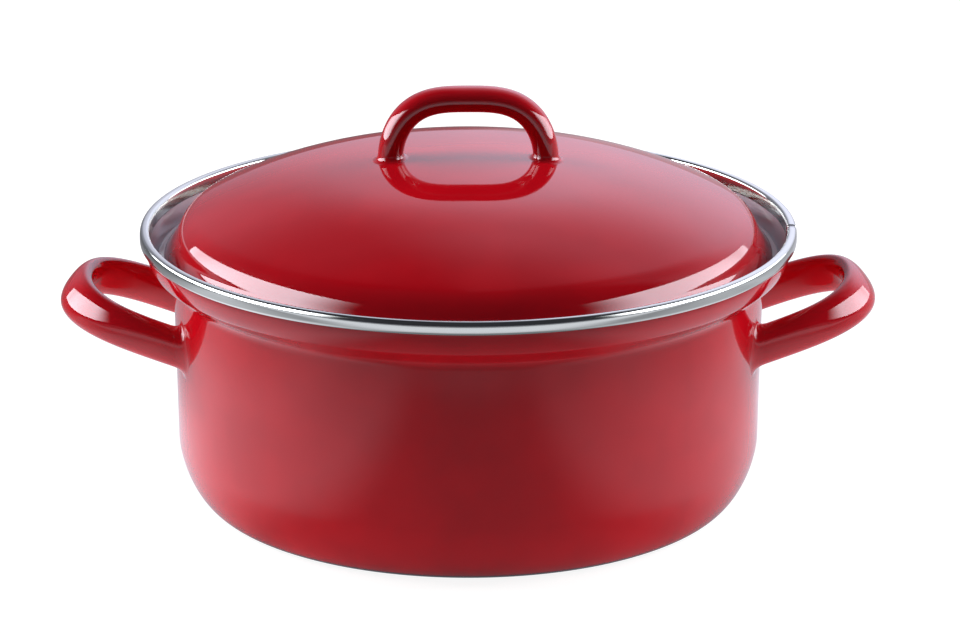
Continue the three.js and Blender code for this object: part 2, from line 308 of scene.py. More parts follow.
@dataclass
class NodeSheet:
    """A node tree that is filled from code."""

    tree: bpy.types.NodeTree

    def add(self, kind: str, **settings: object) -> bpy.types.Node:
        """Adds a node.

        Args:
            kind: Blender's name of the node type.
            **settings: Properties to set on it.

        Returns:
            The node.
        """
        node = self.tree.nodes.new(kind)
        for key, value in settings.items():
            setattr(node, key, value)
        return node

    def put(self, value: object, socket: bpy.types.NodeSocket) -> None:
        """Links a socket's value into an input, or sets a constant on it."""
        if isinstance(value, bpy.types.NodeSocket):
            self.tree.links.new(value, socket)
        elif isinstance(value, tuple) and len(value) == 3 and socket.type == "RGBA":
            socket.default_value = (*value, 1.0)
        else:
            socket.default_value = value

    def maths(self, operation: str, *values: object) -> bpy.types.NodeSocket:
        """Adds a Math node and returns its result."""
        node = self.add("ShaderNodeMath", operation=operation)
        for value, socket in zip(values, node.inputs):
            self.put(value, socket)
        return node.outputs[0]

    def product(self, first: object, *others: object) -> bpy.types.NodeSocket:
        """Returns the product of the values."""
        for other in others:
            first = self.maths("MULTIPLY", first, other)
        return first

    def split(self, vector: bpy.types.NodeSocket) -> list[bpy.types.NodeSocket]:
        """Returns the three parts of a vector."""
        parts = self.add("ShaderNodeSeparateXYZ")
        self.put(vector, parts.inputs[0])
        return list(parts.outputs)

    def level(self, x: bpy.types.NodeSocket, y: bpy.types.NodeSocket) -> bpy.types.NodeSocket:
        """Returns the level distance, the root of x^2 + y^2."""
        return self.maths("SQRT", self.maths("ADD", self.product(x, x), self.product(y, y)))

    def smooth(self, value: object, low: object, high: object, to_low: object = 0.0,
               to_high: object = 1.0) -> bpy.types.NodeSocket:
        """Adds a smooth step: to_low up to low, to_high from high on.

        Args:
            value: The value that is looked up.
            low: Where the step starts.
            high: Where it ends.
            to_low: Result at and below low.
            to_high: Result at and above high.

        Returns:
            The stepped value.
        """
        node = self.add("ShaderNodeMapRange", interpolation_type="SMOOTHSTEP")
        for given, socket in zip((value, low, high, to_low, to_high), node.inputs):
            self.put(given, socket)
        return node.outputs[0]

    def mix(self, share: object, first: object, second: object) -> bpy.types.NodeSocket:
        """Adds a colour mix and returns the mixed colour."""
        node = self.add("ShaderNodeMix", data_type="RGBA")
        sockets = [node.inputs[index] for index in (0, 6, 7)]
        for value, socket in zip((share, first, second), sockets):
            self.put(value, socket)
        return node.outputs[2]

    def noise(self, vector: bpy.types.NodeSocket, scale: object,
              detail: float) -> bpy.types.NodeSocket:
        """Adds a noise texture and returns its value, around 0.5."""
        node = self.add("ShaderNodeTexNoise")
        for value, key in ((vector, "Vector"), (scale, "Scale"), (detail, "Detail")):
            self.put(value, node.inputs[key])
        return node.outputs[0]

    def relief(self, height: bpy.types.NodeSocket, normal: bpy.types.NodeSocket) -> None:
        """Links a height in metres into a shader's normal, through a Bump node."""
        bump = self.add("ShaderNodeBump")
        self.put(1.0, bump.inputs["Distance"])
        self.put(height, bump.inputs["Height"])
        self.put(bump.outputs[0], normal)

    def glow(self, kind: str, colour: Colour, strength: object) -> bpy.types.NodeSocket:
        """Adds an emission or a background and returns its light."""
        node = self.add(kind)
        self.put(colour, node.inputs["Color"])
        self.put(strength, node.inputs["Strength"])
        return node.outputs[0]

    def end(self, plain: bpy.types.NodeSocket, mirrored: bpy.types.NodeSocket,
            surface: bpy.types.NodeSocket) -> None:
        """Ends the tree with one surface for mirror rays and a plain one for all others."""
        choice = self.add("ShaderNodeMixShader")
        glossy = self.add("ShaderNodeLightPath").outputs["Is Glossy Ray"]
        for value, socket in zip((glossy, plain, mirrored), choice.inputs):
            self.put(value, socket)
        self.put(choice.outputs[0], surface)


def new_material(name: str) -> tuple[bpy.types.Material, NodeSheet]:
    """Returns a new material and the sheet of its node tree."""
    made = bpy.data.materials.new(name)
    made.use_nodes = True
    return made, NodeSheet(made.node_tree)


@dataclass(frozen=True)
class Step:
    """A smooth step: one level up to low, another from high on."""

    low: float
    high: float
    before: float = 0.0
    after: float = 1.0

    def of(self, sheet: NodeSheet, value: bpy.types.NodeSocket) -> bpy.types.NodeSocket:
        """Returns the step of a value."""
        return sheet.smooth(value, self.low, self.high, self.before, self.after)


@dataclass(frozen=True)
class ShaderGroup:
    """A node group that is built once and used in several materials."""

    name: str
    inputs: dict[str, tuple[str, object]]
    outputs: dict[str, str]
    fill: Callable[[NodeSheet, bpy.types.NodeOutputs], Sockets]

    def tree(self) -> bpy.types.NodeTree:
        """Returns the group's tree, and builds it the first time."""
        made = bpy.data.node_groups.get(self.name)
        if made:
            return made
        made = bpy.data.node_groups.new(self.name, "ShaderNodeTree")
        for key, (kind, default) in self.inputs.items():
            socket = made.interface.new_socket(key, in_out="INPUT", socket_type=kind)
            if default is not None:
                socket.default_value = default
        for key, kind in self.outputs.items():
            made.interface.new_socket(key, in_out="OUTPUT", socket_type=kind)
        sheet = NodeSheet(made)
        given = sheet.add("NodeGroupInput").outputs
        result = sheet.add("NodeGroupOutput").inputs
        for key, value in self.fill(sheet, given).items():
            sheet.put(value, result[key])
        return made

    def use(self, sheet: NodeSheet, **values: object) -> bpy.types.NodeOutputs:
        """Places the group in a material.

        Args:
            sheet: The material's tree.
            **values: Values of the inputs, with underscores for spaces.

        Returns:
            The outputs of the placed group.
        """
        node = sheet.add("ShaderNodeGroup", node_tree=self.tree())
        for key, value in values.items():
            sheet.put(value, node.inputs[key.replace("_", " ")])
        return node.outputs


def fill_glaze_flow(sheet: NodeSheet, given: bpy.types.NodeOutputs) -> Sockets:
    """Fills the group of a fired glaze: long waves where it ran, and the fine skin on them.

    Height = wave depth * slow noise + skin depth * fine noise. Tone is the slow noise.
    """
    slow = sheet.noise(given["Vector"], given["Wave Scale"], 2.0)
    fine = sheet.noise(given["Vector"], given["Skin Scale"], 1.0)
    waves = sheet.product(slow, given["Wave Depth"])
    skin = sheet.product(fine, given["Skin Depth"])
    return {"Height": sheet.maths("ADD", waves, skin), "Tone": sheet.smooth(slow, 0.35, 0.65)}


def fill_coat_edge(sheet: NodeSheet, given: bpy.types.NodeOutputs) -> Sockets:
    """Fills the group of the line where the coloured coat ends.

    Mask = smooth step of the distance from the line over its width, with a little noise in it.
    """
    waver = sheet.maths("SUBTRACT", sheet.noise(given["Vector"], given["Waver Scale"], 2.0), 0.5)
    place = sheet.maths("MULTIPLY_ADD", waver, given["Waver"], given["Distance"])
    return {"Mask": sheet.smooth(place, 0.0, given["Width"])}


def fill_strip_grain(sheet: NodeSheet, given: bpy.types.NodeOutputs) -> Sockets:
    """Fills the group of a rolled strip's grain: fine lines that run round the axis.

    The noise is read at (radius, height, a little of the angle), so it changes quickly across the
    strip and slowly along it.
    """
    x, y, z = sheet.split(given["Vector"])
    turn = sheet.product(sheet.maths("ARCTAN2", y, x), given["Stretch"])
    join = sheet.add("ShaderNodeCombineXYZ")
    for value, socket in zip((sheet.level(x, y), turn, z), join.inputs):
        sheet.put(value, socket)
    lines = sheet.noise(join.outputs[0], given["Line Scale"], 3.0)
    return {"Height": sheet.product(lines, given["Depth"]), "Lines": lines}


FLOAT, VECTOR = "NodeSocketFloat", "NodeSocketVector"
GLAZE_FLOW = ShaderGroup(
    "glaze_flow",
    {"Vector": (VECTOR, None), "Wave Scale": (FLOAT, 30.0), "Wave Depth": (FLOAT, 0.0),
     "Skin Scale": (FLOAT, 500.0), "Skin Depth": (FLOAT, 0.0)},
    {"Height": FLOAT, "Tone": FLOAT},
    fill_glaze_flow,
)
COAT_EDGE = ShaderGroup(
    "coat_edge",
    {"Vector": (VECTOR, None), "Distance": (FLOAT, 0.0), "Width": (FLOAT, 1.0),
     "Waver": (FLOAT, 0.0), "Waver Scale": (FLOAT, 100.0)},
    {"Mask": FLOAT},
    fill_coat_edge,
)
STRIP_GRAIN = ShaderGroup(
    "strip_grain",
    {"Vector": (VECTOR, None), "Stretch": (FLOAT, 0.01), "Line Scale": (FLOAT, 2000.0),
     "Depth": (FLOAT, 0.0)},
    {"Height": FLOAT, "Lines": FLOAT},
    fill_strip_grain,
)


@dataclass(frozen=True)
class Enamel:
    """Vitreous enamel: a red coat outside, a blue-grey one inside, and a dark ground coat below.

    The mesh's attribute "cover" holds the distance in millimetres from the line where the red
    coat ends, positive on the red side. With no such line, the whole piece is red. The dark
    ground coat shows where nothing covers it, up to the base height.
    """

    name: str
    coat: Colour = (0.45, 0.003, 0.0085)
    thick_coat: Colour = (0.40, 0.0024, 0.0075)
    thin_coat: Colour = (0.085, 0.002, 0.011)
    inside: Colour = (0.62, 0.63, 0.74)
    ground: Colour = (0.022, 0.023, 0.032)
    base_height: float = 1.2 * MM
    base_blur: float = 0.24 * MM
    thin_width: float = 2.0
    line_width: float = 0.25
    line_waver: float = 0.15
    specular: float = 0.5
    gloss_low: float = 0.03
    gloss_high: float = 0.06
    wave_depth: float = 0.006 * MM
    skin_depth: float = 0.00025 * MM
    has_line: bool = True

    @cache
    def material(self) -> bpy.types.Material:
        """Returns the material, which is built the first time."""
        made, sheet = new_material(self.name)
        shader = made.node_tree.nodes["Principled BSDF"]
        place = sheet.add("ShaderNodeTexCoord").outputs["Object"]
        flow = GLAZE_FLOW.use(sheet, Vector=place, Wave_Depth=self.wave_depth,
                              Skin_Depth=self.skin_depth)
        colour = sheet.mix(flow["Tone"], self.coat, self.thick_coat)
        if self.has_line:
            distance = sheet.add("ShaderNodeAttribute", attribute_name="cover").outputs["Fac"]
            shared = {"Vector": place, "Distance": distance, "Waver": self.line_waver}
            thin = COAT_EDGE.use(sheet, Width=self.thin_width, **shared)["Mask"]
            coated = COAT_EDGE.use(sheet, Width=self.line_width, **shared)["Mask"]
            colour = sheet.mix(thin, self.thin_coat, colour)
            height = sheet.split(place)[2]
            above = sheet.smooth(height, self.base_height, self.base_height + self.base_blur)
            colour = sheet.mix(coated, sheet.mix(above, self.ground, self.inside), colour)
        sheet.put(colour, shader.inputs["Base Color"])
        gloss = sheet.smooth(flow["Tone"], 0.0, 1.0, self.gloss_low, self.gloss_high)
        sheet.put(gloss, shader.inputs["Roughness"])
        sheet.put(self.specular, shader.inputs["Specular IOR Level"])
        sheet.relief(flow["Height"], shader.inputs["Normal"])
        return made


@dataclass(frozen=True)
class RolledSteel:
    """Bright stainless strip, with the grain of rolling along it."""

    name: str
    bright: Colour = (0.62, 0.65, 0.60)
    dull: Colour = (0.54, 0.565, 0.525)
    gloss_low: float = 0.08
    gloss_high: float = 0.12
    grain_depth: float = 0.0003 * MM

    @cache
    def material(self) -> bpy.types.Material:
        """Returns the material, which is built the first time."""
        made, sheet = new_material(self.name)
        shader = made.node_tree.nodes["Principled BSDF"]
        place = sheet.add("ShaderNodeTexCoord").outputs["Object"]
        grain = STRIP_GRAIN.use(sheet, Vector=place, Depth=self.grain_depth)
        sheet.put(sheet.mix(grain["Lines"], self.dull, self.bright), shader.inputs["Base Color"])
        gloss = sheet.smooth(grain["Lines"], 0.3, 0.7, self.gloss_low, self.gloss_high)
        sheet.put(gloss, shader.inputs["Roughness"])
        sheet.put(1.0, shader.inputs["Metallic"])
        sheet.relief(grain["Height"], shader.inputs["Normal"])
        return made


def dress(piece: bpy.types.Object, material: bpy.types.Material, body: str, slot: str,
          *nodes: str) -> None:
    """Gives a piece its finish, its body and the CAD nodes that it stands for.

    Args:
        piece: The finished piece.
        material: Its material.
        body: The body that it rides on.
        slot: The record's material slot; not used.
        *nodes: The CAD nodes that it replaces.
    """
    piece.data.materials.append(material)
    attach(piece, body)
    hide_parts(*nodes)
    LOG.info("%s: %d faces, %s, rides on %s",
             piece.name, len(piece.data.polygons), material.name, body)


def shell_section(first: Outline, second: Outline, bend: float) -> Outline:
    """Returns the section of a pressed sheet: one face, round the rim, and back by the other.

    Args:
        first: The face it starts with, from the axis to the rim.
        second: The other face, from the rim to the axis.
        bend: Largest turn between two points.

    Returns:
        The section, with its cut edge softened and without its ends on the axis.
    """
    shell = first.then(second).softened(CUT_SOFTNESS).graded(LONGEST_FACE, bend)
    return Outline(shell.points[1:-1])


# ---------------------------------------------------------------- pot, band and lid


@dataclass
class Pot:
    """The drawn pot: flat base, round corner, straight wall, step, collar and upright edge."""

    body_radius: float = 116.9 * MM
    taper: float = 0.9 * MM
    wall: float = 1.4 * MM
    corner_height: float = 24 * MM
    corner_width: float = 12.3 * MM
    corner_power: float = 1.25
    step_foot: float = 88 * MM
    foot_radius: float = 4 * MM
    step_lean: float = 54 * DEGREE
    head_radius: float = 3 * MM
    step_width: float = 11.1 * MM
    collar_lean: float = 32 * DEGREE
    collar_radius: float = 17 * MM
    edge_rise: float = 2.2 * MM
    base_line: float = 1.0 * MM
    softness: float = 0.5 * MM
    bend: float = 5 * DEGREE
    turns: int = 240

    def outside(self) -> Outline:
        """Returns the outside, from the middle of the base to the top of the edge.

        The corner is a superellipse: r = r0 + w sin(t) ^ p, z = h - h cos(t) ^ p.
        """
        turn = np.linspace(0.0, QUARTER, 60)
        top = self.body_radius - self.taper
        corner = np.column_stack([
            top - self.corner_width + self.corner_width * np.sin(turn) ** self.corner_power,
            self.corner_height * (1 - np.abs(np.cos(turn)) ** self.corner_power),
        ])
        start = Outline(np.vstack([[0.0, 0.0], corner, [self.body_radius, self.step_foot]]))
        foot = self.foot_radius * (1 - math.cos(self.step_lean))
        head = self.head_radius * (math.cos(self.collar_lean) - math.cos(self.step_lean))
        collar = self.collar_radius * (1 - math.cos(self.collar_lean))
        slope = (self.step_width - foot - head - collar) / math.sin(self.step_lean)
        whole = (start.arc(self.foot_radius, 0, self.step_lean).run(slope, self.step_lean)
                 .arc(self.head_radius, self.step_lean, self.collar_lean)
                 .arc(self.collar_radius, self.collar_lean, 0).run(self.edge_rise, 0))
        return whole.softened(self.softness)

    def edge(self) -> Array:
        """Returns the top outside corner of the edge, as (radius, height)."""
        return self.outside().points[-1]

    def skin(self) -> "RoundSkin":
        """Returns the outer face of the wall, for what is welded to it."""
        points = self.outside().points
        wall = points[points[:, 0] > self.body_radius - self.corner_width]
        return RoundSkin(wall, upright=True)

    def build(self, finish: Enamel) -> None:
        """Builds the shell and dresses it.

        The attribute "cover" is positive from just above the base up to the top of the edge.

        Args:
            finish: The enamel.
        """
        outside = self.outside()
        shell = shell_section(outside, outside.offset(-self.wall).reversed(), self.bend)
        along = shell.along()
        rise = np.flatnonzero(shell.points[:, 1] > self.base_line)[0]
        crest = np.argmax(shell.points[:, 1])
        cover = np.minimum(along - along[rise], along[crest] - along) / MM
        piece = Surface(turned(shell, self.turns), values={"cover": cover}).build("enamelled_pot")
        dress(piece, finish.material(), "pot", "pot_enamel", "pot_shell")


@dataclass
class RimBand:
    """The stainless strip rolled over the pot's edge, with a butt seam."""

    pot: Pot
    clearance: float = 0.3 * MM
    sheet: float = 0.5 * MM
    bulge: float = 1.5 * MM
    crown_rise: float = 2.5 * MM
    face_drop: float = 1.2 * MM
    outer_drop: float = 2.7 * MM
    section_power: float = 0.6
    inner_drop: float = 3 * MM
    seam_gap: float = 0.3 * MM
    seam_angle: float = -3 * DEGREE
    longest: float = 0.6 * MM
    bend: float = 8 * DEGREE
    turns: int = 360

    def face(self, inset: float) -> Outline:
        """Returns one face of the strip, from the outer lip over the crown to the inner lip.

        Both arcs are ellipses squared off by a power p under 1, with the signs kept:
        r = r0 + a |cos t|^p, z = z0 + b |sin t|^p.

        Args:
            inset: Distance in from the strip's outside.

        Returns:
            The face's outline.
        """
        edge = self.pot.edge()
        lip = edge[0] + self.clearance
        inner = edge[0] - self.pot.wall - self.clearance - self.sheet
        outer = lip + self.bulge
        middle = edge[1] - self.face_drop
        power = self.section_power
        turn = np.linspace(-QUARTER, 0.0, 60)
        roll = np.column_stack([
            lip + (self.bulge - inset) * signed_power(np.cos(turn), power),
            middle + (self.outer_drop - self.face_drop - inset)
            * signed_power(np.sin(turn), power)])
        turn = np.linspace(0.0, math.pi, 180)[1:]
        crown = np.column_stack([
            (inner + outer) / 2
            + ((outer - inner) / 2 - inset) * signed_power(np.cos(turn), power),
            middle + (self.crown_rise + self.face_drop - inset)
            * signed_power(np.sin(turn), power)])
        return Outline(np.vstack([roll, crown, [inner + inset, edge[1] - self.inner_drop]]))

    def build(self, finish: RolledSteel) -> None:
        """Builds the strip, open by the seam's gap, and dresses it.

        Args:
            finish: The steel.
        """
        outline = self.face(0).then(self.face(self.sheet).reversed())
        profile = outline.then(Outline(outline.points[:1])).graded(self.longest, self.bend)
        half_gap = self.seam_gap / 2 / self.pot.body_radius
        ring = turned(profile, self.turns, self.seam_angle + half_gap, 2 * math.pi - 2 * half_gap)
        piece = Surface(ring[:-1].transpose(1, 0, 2)).build("steel_rim_band")
        dress(piece, finish.material(), "pot", "rim_steel", "pot_rim_band")


@dataclass
class Lid:
    """The pressed lid: dome, shoulder, skirt, flange and a short lip that sits on the ledge."""

    radius: float = 123.08 * MM
    foot: float = 96.63 * MM
    wall: float = 1.2 * MM
    lip_rise: float = 1 * MM
    lip_radius: float = 1.6 * MM
    flange_slope: float = 4.4 * DEGREE
    flange_width: float = 1 * MM
    skirt_radius: float = 0.8 * MM
    skirt_slope: float = 55.1 * DEGREE
    skirt_length: float = 6.6 * MM
    hollow_radius: float = 7.2 * MM
    steep_slope: float = 72.5 * DEGREE
    shoulder_radius: float = 16.3 * MM
    dome_slope: float = 26.6 * DEGREE
    dome_radius: float = 177.5 * MM
    crown_slope: float = 8.69 * DEGREE
    coat_radius: float = 120.5 * MM
    softness: float = 0.4 * MM
    bend: float = 4 * DEGREE
    turns: int = 240

    def outside(self) -> Outline:
        """Returns the outside, from the foot of the lip to the crown.

        Dome and crown are arcs of their own radius R, from the slope e at their edge inwards:
        r = r0 - R (sin e - sin a), z = z0 + R (cos a - cos e). The crown's R is r0 / sin e.
        """
        lean = [slope - QUARTER for slope in
                (self.flange_slope, self.skirt_slope, self.steep_slope, self.dome_slope)]
        rim = (Outline(np.array([[self.radius, self.foot]])).run(self.lip_rise, 0)
               .arc(self.lip_radius, 0, lean[0]).run(self.flange_width, lean[0])
               .arc(self.skirt_radius, lean[0], lean[1]).run(self.skirt_length, lean[1])
               .arc(self.hollow_radius, lean[1], lean[2])
               .arc(self.shoulder_radius, lean[2], lean[3]))
        dome = self.shallow(rim, self.dome_radius, self.dome_slope, self.crown_slope)
        crown_radius = dome.points[-1, 0] / math.sin(self.crown_slope)
        return self.shallow(dome, crown_radius, self.crown_slope, 0.0).softened(self.softness)

    @staticmethod
    def shallow(outline: Outline, radius: float, from_slope: float, to_slope: float) -> Outline:
        """Goes on along a shallow arc, inwards and up.

        Args:
            outline: What is there so far.
            radius: Radius of the arc.
            from_slope: Slope where it starts.
            to_slope: Slope where it ends.

        Returns:
            The longer outline.
        """
        slope = np.linspace(from_slope, to_slope, 60)[1:]
        start = outline.points[-1]
        arc = np.column_stack([start[0] - radius * (math.sin(from_slope) - np.sin(slope)),
                               start[1] + radius * (np.cos(slope) - math.cos(from_slope))])
        return Outline(np.vstack([outline.points, arc]))

    def skin(self) -> "RoundSkin":
        """Returns the top face, for what is welded to it."""
        return RoundSkin(self.outside().points[::-1], upright=False)

    def crown(self) -> float:
        """Returns the height of the crown."""
        return float(self.outside().points[-1, 1])

    def build(self, finish: Enamel) -> None:
        """Builds the shell and dresses it.

        The attribute "cover" is positive inwards of the ring where the red coat ends.

        Args:
            finish: The enamel.
        """
        outside = self.outside()
        shell = shell_section(outside.reversed(), outside.offset(-self.wall), self.bend)
        along = shell.along()
        line = np.flatnonzero(shell.points[:, 0] > self.coat_radius)[0]
        cover = (along[line] - along) / MM
        piece = Surface(turned(shell, self.turns), values={"cover": cover}).build("enamelled_lid")
        dress(piece, finish.material(), "lid", "lid_enamel", "lid_shell")


# ---------------------------------------------------------------- bars and their welds


@dataclass(frozen=True)
class RoundSkin:
    """A round face that a bar stands on: a wall, read by height, or a top, read by radius."""

    points: Array
    upright: bool

    def height(self, places: Array) -> Array:
        """Returns how far places stand out from the skin, radially or upwards."""
        radius = np.hypot(places[..., 0], places[..., 1])
        if self.upright:
            return radius - np.interp(places[..., 2], self.points[:, 1], self.points[:, 0])
        return places[..., 2] - np.interp(radius, self.points[:, 0], self.points[:, 1])

    def normal(self, places: Array) -> Array:
        """Returns the skin's outward direction near places, from the gradient of the height."""
        step = 0.05 * MM
        shifts = np.eye(3) * step
        return unit(np.stack([self.height(places + shift) - self.height(places - shift)
                              for shift in shifts], -1))

    def drop(self, places: Array, sink: float) -> Array:
        """Returns places moved onto the skin, or below it by the sink."""
        for _ in range(4):
            places = places - self.normal(places) * (self.height(places) + sink)[..., None]
        return places


@dataclass
class Bar:
    """A bar bent into half a superellipse and welded to a skin by both feet.

    Its centre line is reach cos(t) ^ p outwards and span / 2 sin(t) ^ q sideways. Its section is
    a superellipse too, of the given half sizes, which turn and change towards the middle.
    """

    root: Array
    out: Array
    up: Array
    reach: float
    set_back: float
    span: float
    reach_power: float
    span_power: float
    foot_size: tuple[float, float]
    end_size: tuple[float, float]
    end_roll: float
    skin: RoundSkin
    weld_width: float
    weld_rise: float
    section_power: float = 0.87
    overrun: float = 9 * MM
    sides: int = 56
    rows: int = 150

    def __post_init__(self) -> None:
        """Works out the centre line and the section at close stations along it."""
        turn = np.linspace(-QUARTER, QUARTER, 4001)
        turn = QUARTER * np.sin(turn)
        outward = (self.reach + self.set_back) * np.abs(np.cos(turn)) ** self.reach_power
        sideways = self.span / 2 * signed_power(np.sin(turn), self.span_power)
        across = np.cross(self.up, self.out)
        line = (self.root + (outward - self.set_back)[:, None] * self.out
                + sideways[:, None] * across)
        sunk = self.out * self.overrun
        line = np.vstack([line[:1] - sunk, line, line[-1:] - sunk])
        steps = np.linalg.norm(np.diff(line, axis=0), axis=1)
        along = np.concatenate([[0.0], np.cumsum(steps)])
        self.along = np.linspace(0.0, along[-1], 2400)
        self.line = np.column_stack([np.interp(self.along, along, column) for column in line.T])
        self.across = across

    def stations(self, along: Array) -> tuple[Array, Array, Array, Array, Array]:
        """Returns centre, two section directions and two half sizes at distances along the line.

        The share of the middle is one less the square of how far the line stands to the side, and
        the section turns by the end roll times that share.

        Args:
            along: Distances, of any shape.

        Returns:
            Centre, outwards, upwards, half thickness and half depth.
        """
        centre = np.stack([np.interp(along, self.along, column) for column in self.line.T], -1)
        slope = np.gradient(self.line, self.along, axis=0)
        kernel = np.hanning(25)
        kernel /= kernel.sum()
        slope = np.column_stack([np.convolve(np.pad(column, 12, mode="edge"), kernel, "valid")
                                 for column in slope.T])
        tangent = unit(np.stack([np.interp(along, self.along, column) for column in slope.T], -1))
        outwards = unit(np.cross(tangent, self.up))
        side = np.clip(np.abs((centre - self.root) @ self.across) / (self.span / 2), 0.0, 1.0)
        share = (1 - side ** 2)[..., None]
        roll = self.end_roll * share
        upwards = self.up * np.cos(roll) - outwards * np.sin(roll)
        outwards = outwards * np.cos(roll) + self.up * np.sin(roll)
        sizes = [(foot + (end - foot) * share[..., 0]) / 2
                 for foot, end in zip(self.foot_size, self.end_size)]
        return centre, outwards, upwards, sizes[0], sizes[1]

    def place(self, along: Array, turn: Array) -> tuple[Array, Array]:
        """Returns points on the bar and the directions out of it.

        Args:
            along: Distances along the centre line.
            turn: Angles round the section.

        Returns:
            Points, and unit vectors out of the section.
        """
        centre, outwards, upwards, thick, deep = self.stations(along)
        first = signed_power(np.cos(turn), self.section_power)
        second = signed_power(np.sin(turn), self.section_power)
        point = (centre + (thick * first)[..., None] * outwards
                 + (deep * second)[..., None] * upwards)
        away = unit((first / thick)[..., None] * outwards + (second / deep)[..., None] * upwards)
        return point, away

    def foot(self, turn: Array, last: bool, sink: float) -> Array:
        """Finds where each line along the bar meets the skin, by halving.

        Args:
            turn: Angles round the section.
            last: Whether it is the foot at the end of the line, not at its start.
            sink: Depth below the skin that counts as meeting it.

        Returns:
            Distances along the centre line.
        """
        total = self.along[-1]
        low = np.full(turn.shape, total if last else 0.0)
        high = np.full(turn.shape, total * (0.7 if last else 0.3))
        for _ in range(40):
            middle = (low + high) / 2
            inside = self.skin.height(self.place(middle, turn)[0]) < -sink
            low, high = np.where(inside, middle, low), np.where(inside, high, middle)
        return (low + high) / 2

    def tube(self) -> Surface:
        """Returns the bar between its feet, which end just below the skin."""
        turn = np.linspace(0.0, 2 * math.pi, self.sides, endpoint=False)
        first, last = self.foot(turn, False, 0.4 * MM), self.foot(turn, True, 0.4 * MM)
        share = np.linspace(0.0, 1.0, self.rows)[:, None]
        return Surface(self.place(first + (last - first) * share, turn + 0 * share)[0])

    def bead(self, last: bool) -> Surface:
        """Returns the weld bead round one foot.

        Its face is the curve (1-u)^2 A + 2u(1-u) B + u^2 D, from A on the bar, through the corner
        B of bar and skin, to D on the skin, so it leaves both along their own surface.

        Args:
            last: Whether it is the foot at the end of the line.

        Returns:
            A closed ring.
        """
        turn = np.linspace(0.0, 2 * math.pi, self.sides * 2, endpoint=False)
        foot = self.foot(turn, last, 0.0)
        corner, away = self.place(foot, turn)
        rise = -self.weld_rise if last else self.weld_rise
        top, top_away = self.place(foot + rise, turn)
        top = top - top_away * 0.02 * MM
        normal = self.skin.normal(corner)
        flat = unit(away - (away * normal).sum(-1, keepdims=True) * normal)
        toe = self.skin.drop(corner + flat * self.weld_width, 0.02 * MM)
        share = np.linspace(0.0, 1.0, 14)[:, None, None]
        face = (1 - share) ** 2 * top + 2 * share * (1 - share) * corner + share ** 2 * toe
        heel = corner - flat * 0.5 * MM - normal * 0.5 * MM
        return Surface(np.concatenate([face, heel[None]]), closed_rows=True)


@dataclass
class SideHandle:
    """A loop handle, with its two weld beads."""

    pot: Pot
    side: Side
    drop: float = 18 * MM
    tilt: float = 20 * DEGREE

    def bar(self) -> Bar:
        """Returns the bent bar on this side of the pot."""
        sign = self.side.value
        out = np.array([sign * math.cos(self.tilt), 0.0, math.sin(self.tilt)])
        up = np.array([-sign * math.sin(self.tilt), 0.0, math.cos(self.tilt)])
        root = np.array([sign * self.pot.body_radius, 0.0, self.pot.step_foot - self.drop])
        return Bar(
            root=root, out=out, up=up, reach=40.98 * MM, set_back=6.6 * MM, span=65.4 * MM,
            reach_power=0.53, span_power=0.95, foot_size=(9.6 * MM, 15.4 * MM),
            end_size=(8.4 * MM, 17.4 * MM), end_roll=18 * DEGREE, skin=self.pot.skin(),
            weld_width=3.4 * MM, weld_rise=5.2 * MM)

    def build(self, finish: Enamel) -> None:
        """Builds the bar and its beads and dresses them.

        Args:
            finish: The enamel.
        """
        name = self.side.name.lower()
        bar = self.bar()
        piece = bar.tube().build(f"loop_handle_{name}")
        dress(piece, finish.material(), "pot", "handle_enamel", f"side_handle_{name}")
        for last in (False, True):
            bead = bar.bead(last)
            end = "front" if bead.points[..., 1].mean() < 0 else "rear"
            piece = bead.build(f"weld_bead_{name}_{end}")
            dress(piece, finish.material(), "pot", "handle_enamel", f"weld_{name}_{end}")


@dataclass
class LidHandle:
    """The arched handle on the lid, with its two weld beads."""

    lid: Lid
    rise: float = 22.89 * MM
    set_down: float = 1.1 * MM

    def bar(self) -> Bar:
        """Returns the bent bar over the crown."""
        return Bar(
            root=np.array([0.0, 0.0, self.lid.crown()]), out=np.array([0.0, 0.0, 1.0]),
            up=np.array([0.0, 1.0, 0.0]), reach=self.rise, set_back=self.set_down, span=61.2 * MM,
            reach_power=1.04, span_power=0.63, foot_size=(10.1 * MM, 13 * MM),
            end_size=(10.1 * MM, 13 * MM), end_roll=0.0, skin=self.lid.skin(),
            weld_width=2.4 * MM, weld_rise=2.8 * MM)

    def build(self, finish: Enamel) -> None:
        """Builds the arch and its beads and dresses them.

        Args:
            finish: The enamel.
        """
        bar = self.bar()
        piece = bar.tube().build("arched_handle")
        dress(piece, finish.material(), "lid", "handle_enamel", "lid_handle")
        for last in (False, True):
            bead = bar.bead(last)
            end = "left" if bead.points[..., 0].mean() < 0 else "right"
            piece = bead.build(f"weld_bead_lid_{end}")
            dress(piece, finish.material(), "lid", "handle_enamel", f"weld_lid_{end}")


# ---------------------------------------------------------------- studio


